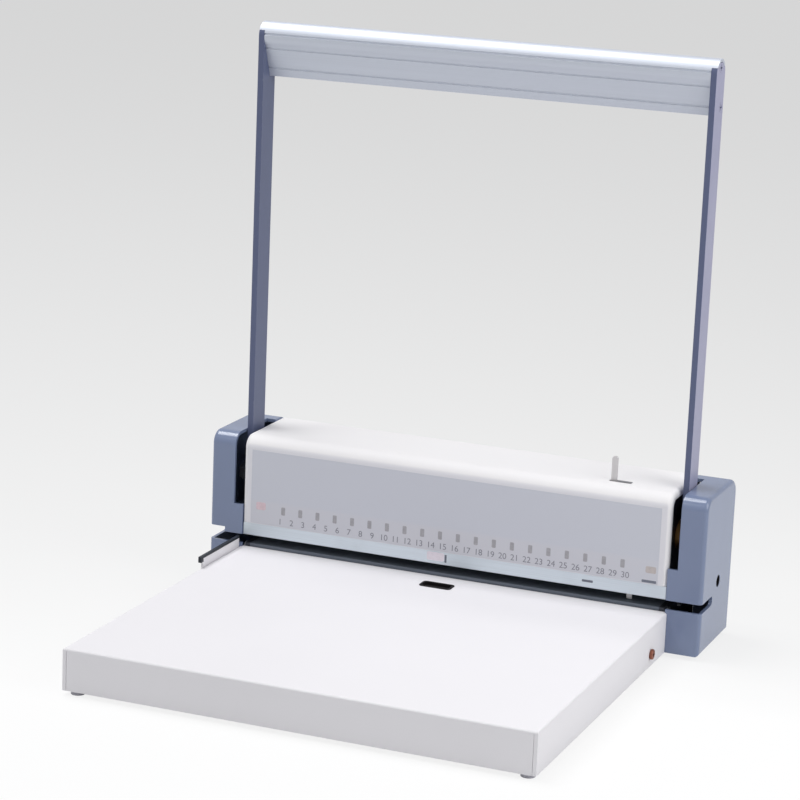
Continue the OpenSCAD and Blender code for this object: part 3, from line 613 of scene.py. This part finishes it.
def add_coil(mesh, low, high):
    """A coil of round wire that fills a box: a dead turn at each end and live turns between them."""
    middle = (low + high) / 2
    radius = (high.x - low.x) / 2 - WIRE_R
    live_turns = SPRING_TURNS - 2
    dead_rise = 2 * WIRE_R + DEAD_GAP
    live_rise = (high.z - low.z - 2 * WIRE_R - 2 * dead_rise) / live_turns
    rings = []
    for i in range(SPRING_TURNS * TURN_STEPS + 1):
        turns = i / TURN_STEPS
        live = min(max(turns - 1, 0), live_turns)
        z = low.z + WIRE_R + (turns - live) * dead_rise + live * live_rise
        ring = []
        for j in range(WIRE_SIDES):
            round_wire = j * 2 * math.pi / WIRE_SIDES
            reach = radius + WIRE_R * math.cos(round_wire)
            x = middle.x + reach * math.cos(turns * 2 * math.pi)
            y = middle.y + reach * math.sin(turns * 2 * math.pi)
            ring.append(mesh.verts.new((x, y, z + WIRE_R * math.sin(round_wire))))
        rings.append(ring)
    join_loops(mesh, rings, smooth=True)
    for end in (rings[0], rings[-1]):
        mesh.faces.new(end)
    bmesh.ops.recalc_face_normals(mesh, faces=mesh.faces)


def return_springs():
    """Coil springs on the guide posts."""
    press = next(joint for joint in frame["joints"] if joint["name"] == "beam_press")
    stroke = max(press["range_m"])
    for side in ("left", "right"):
        low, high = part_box("spring_" + side)
        coil = bmesh.new()
        add_coil(coil, low, high)
        spring = new_piece("coil_" + side, coil, "frame", spring_steel)
        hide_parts("spring_" + side)
        height = high.z - low.z
        (height - stroke) / height
        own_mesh(spring)


def recess_sleeves():
    """A black sleeve in each cap's screw recess, from just below the cap's face to the screw, put there as
    painted shade.
    """
    low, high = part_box("cap_screws")
    middle = (low + high) / 2
    left_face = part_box("end_cap_left")[0].x
    right_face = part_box("end_cap_right")[1].x
    sleeves = bmesh.new()
    for mouth, floor in ((left_face + SLEEVE_SET, low.x), (right_face - SLEEVE_SET, high.x)):
        inside = SLEEVE_R - SLEEVE_T
        loops = []
        for x, radius in ((mouth, SLEEVE_R), (floor, SLEEVE_R), (floor, inside), (mouth, inside)):
            loop = []
            for i in range(SLEEVE_SIDES):
                turn = i * 2 * math.pi / SLEEVE_SIDES
                y = middle.y + radius * math.cos(turn)
                loop.append(sleeves.verts.new((x, y, middle.z + radius * math.sin(turn))))
            loops.append(loop)
        join_loops(sleeves, loops + loops[:1])
    bmesh.ops.recalc_face_normals(sleeves, faces=sleeves.faces)
    # The sleeves are painted shade in the recesses
    new_piece("recess_sleeves", sleeves, "frame", insert_plastic)


def gap_seals():
    """Foam strips behind the throat's ends, in the gaps between the side plates and the caps."""
    plate_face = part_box("end_cap_right")[0].x
    plate_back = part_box("side_frame_right")[1].y
    seals = bmesh.new()
    for side in (-1, 1):
        x = side * (plate_face + SEAL_W / 2)
        low = (x - SEAL_W / 2, plate_back - SEAL_D, SEAL_Z[0])
        high = (x + SEAL_W / 2, plate_back, SEAL_Z[1])
        add_block(seals, low, high)
    bmesh.ops.bevel(
        seals, geom=seals.edges, offset=SEAL_ROUND, segments=SEAL_STEPS, profile=0.5, affect="EDGES")
    new_piece("gap_seals", seals, "frame", black_rubber)


def add_number(mesh, carrier, number, x, foot):
    """A plain number, centred on x, standing a foot's height above its carrier's low corner, on its front."""
    text = bpy.data.curves.new("number", "FONT")
    text.body = str(number)
    text.size = DIGIT_H / DIGIT_SHARE_OF_FONT
    text.extrude = PRINT_T
    text.align_x = "CENTER"
    made = bpy.data.objects.new("number", text)
    bpy.context.scene.collection.objects.link(made)
    bpy.context.view_layer.update()
    solid = bpy.data.meshes.new_from_object(made.evaluated_get(bpy.context.evaluated_depsgraph_get()))
    upright = Matrix.Rotation(math.pi / 2, 4, "X")
    solid.transform(Matrix.Translation((x, carrier.y, carrier.z + foot)) @ upright)
    mesh.from_mesh(solid)
    bpy.data.objects.remove(made)
    bpy.data.meshes.remove(solid)
    bpy.data.curves.remove(text)


def add_print(mesh, carrier, x, foot, width, height):
    """A printed patch with round corners, placed on its carrier's front as a number is."""
    radius = min(width, height) * PRINT_ROUND
    outline = []
    for corner in range(4):
        right = corner in (0, 3)
        upper = corner < 2
        middle_x = x + (width / 2 - radius) * (1 if right else -1)
        middle_z = carrier.z + foot + height / 2 + (height / 2 - radius) * (1 if upper else -1)
        for step in range(PRINT_STEPS + 1):
            turn = (corner + step / PRINT_STEPS) * math.pi / 2
            outline.append((middle_x + radius * math.cos(turn), middle_z + radius * math.sin(turn)))
    front = [mesh.verts.new((px, carrier.y - PRINT_T, pz)) for px, pz in outline]
    back = [mesh.verts.new((px, carrier.y + PRINT_SINK, pz)) for px, pz in outline]
    mesh.faces.new(front)
    mesh.faces.new(back[::-1])
    for i, vert in enumerate(front):
        mesh.faces.new((vert, front[i - 1], back[i - 1], back[i]))


def in_row(i, count, pitch):
    """The x of one of a row of marks that is centred on the machine."""
    return (i - (count - 1) / 2) * pitch


def scale_marks():
    """The printed scale: a plain number for each hole, a row of bars over them, and marks at its ends."""
    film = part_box("scale_strip")[0]
    numbers = bmesh.new()
    for i in range(HOLE_COUNT):
        add_number(numbers, film, i + 1, in_row(i, HOLE_COUNT, HOLE_PITCH), DIGIT_FOOT)
    new_piece("scale_numbers", numbers, "frame", number_ink)
    bars = bmesh.new()
    for i in range(BAR_COUNT):
        add_print(bars, film, in_row(i, BAR_COUNT, BAR_PITCH), BAR_FOOT, BAR_W, BAR_H)
    new_piece("scale_bars", bars, "frame", grey_ink)
    left_mark = bmesh.new()
    add_print(left_mark, film, *LEFT_END_MARK)
    new_piece("left_end_mark", left_mark, "frame", pink_ink)
    right_mark = bmesh.new()
    add_print(right_mark, film, *RIGHT_END_MARK)
    new_piece("right_end_mark", right_mark, "frame", brown_ink)
    underline = bmesh.new()
    add_print(underline, film, *RIGHT_UNDERLINE)
    new_piece("right_underline", underline, "frame", dark_ink)


def lip_marks():
    """The print on the lip: a pale patch with a dark end at the middle, and a dash near the edge stop."""
    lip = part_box("throat_lip")[0]
    patch = bmesh.new()
    add_print(patch, lip, *MIDDLE_PATCH)
    new_piece("middle_patch", patch, "frame", white_ink)
    dashes = bmesh.new()
    add_print(dashes, lip, *MIDDLE_DASH)
    add_print(dashes, lip, *STOP_DASH)
    new_piece("lip_dashes", dashes, "frame", dark_ink)


return_springs()
recess_sleeves()
gap_seals()
scale_marks()
lip_marks()

# World: soft light for the punch, and a pale grey where the camera sees past the floor
SOFT_LIGHT = (0.95, 0.97, 1, 1)
SOFT_LIGHT_LEVEL = 0.36
BACKDROP = colour(216, 216, 217)


def seen_directly(n):
    """1 for what the camera sees, by itself or in a mirror or a clear piece."""
    rays = ("Is Camera Ray", "Is Glossy Ray", "Is Transmission Ray")
    camera_ray, glossy_ray, clear_ray = (n.node("ShaderNodeLightPath", {}, {}, ray) for ray in rays)
    total = camera_ray + glossy_ray + clear_ray
    return n.node("ShaderNodeMath", {"operation": "MINIMUM"}, {0: total, 1: 1.0})


def studio_world():
    world = bpy.data.worlds.new("studio")
    world.use_nodes = True
    bpy.context.scene.world = world
    n = Nodes(world.node_tree)
    light = n.node("ShaderNodeBackground", {}, {"Color": SOFT_LIGHT, "Strength": SOFT_LIGHT_LEVEL})
    backdrop = n.node("ShaderNodeBackground", {}, {"Color": BACKDROP, "Strength": 1.0})
    both = n.node("ShaderNodeMixShader", {}, {0: seen_directly(n), 1: light, 2: backdrop})
    n.node("ShaderNodeOutputWorld", {}, {"Surface": both})


studio_world()

# Floor: half its width, the distance of its brightest spot before the punch, how it greys with distance from
# that spot, and the share of shadow that shows on it
FLOOR_HALF = 14
BRIGHT_SPOT = 1.0
FADE_LENGTH = 1.62
FADE_START = 0.9
FADE_RANGE = (0.24, 0.88)
FAR_TONE = colour(223, 223, 223)
NEAR_TONE = colour(255, 255, 255)
PAPER = (0.86, 0.86, 0.86, 1)
SHADOW_SHARE = 0.16


def floor_finish():
    """White paper that glows for the camera, so that its tone doesn't depend on the lamps."""
    material, n = new_finish("floor")
    brightest = Vector((math.sin(VIEW_AZIMUTH), -math.cos(VIEW_AZIMUTH), 0)) * BRIGHT_SPOT
    ends = {0: n.place(), 1: brightest}
    far = n.node("ShaderNodeVectorMath", {"operation": "DISTANCE"}, ends, "Value")
    nearness = FADE_LENGTH / (far + FADE_START)
    limits = {"Value": nearness, "From Min": FADE_RANGE[0], "From Max": FADE_RANGE[1]}
    near = n.node("ShaderNodeMapRange", {}, limits)
    tone = n.mix(near ** 2, FAR_TONE, NEAR_TONE)
    paper = n.node("ShaderNodeBsdfDiffuse", {}, {"Color": PAPER})
    glow = n.node("ShaderNodeEmission", {}, {"Color": tone, "Strength": 1.0})
    share = seen_directly(n) * (1 - SHADOW_SHARE)
    both = n.node("ShaderNodeMixShader", {}, {0: share, 1: paper, 2: glow})
    n.node("ShaderNodeOutputMaterial", {}, {"Surface": both})
    return material


def studio_floor():
    mesh = bmesh.new()
    bmesh.ops.create_grid(mesh, x_segments=2, y_segments=2, size=FLOOR_HALF)
    floor = bpy.data.objects.new("floor", bpy.data.meshes.new("floor"))
    mesh.to_mesh(floor.data)
    mesh.free()
    floor.data.materials.append(floor_finish())
    bpy.context.scene.collection.objects.link(floor)


studio_floor()


def soft_lamp(name, toward, distance, size, level):
    """A square lamp that lights a white face turned to it to the given level."""
    lamp = bpy.data.lights.new(name, "AREA")
    lamp.size = size
    lamp.energy = level * math.pi ** 2 * distance ** 2
    made = bpy.data.objects.new(name, lamp)
    direction = Vector(toward).normalized()
    made.location = VIEW_TARGET + direction * distance
    made.rotation_euler = direction.to_track_quat("Z", "Y").to_euler()
    bpy.context.scene.collection.objects.link(made)


soft_lamp("top_lamp", toward=(-0.34, -0.02, 0.94), distance=2.8, size=1.4, level=0.65)
soft_lamp("front_lamp", toward=(-0.3, -0.66, 0.68), distance=2.8, size=0.5, level=0.065)
soft_lamp("side_lamp", toward=(0.82, -0.2, 0.5), distance=1.2, size=0.8, level=0.38)

bpy.context.scene.view_settings.view_transform = "Standard"
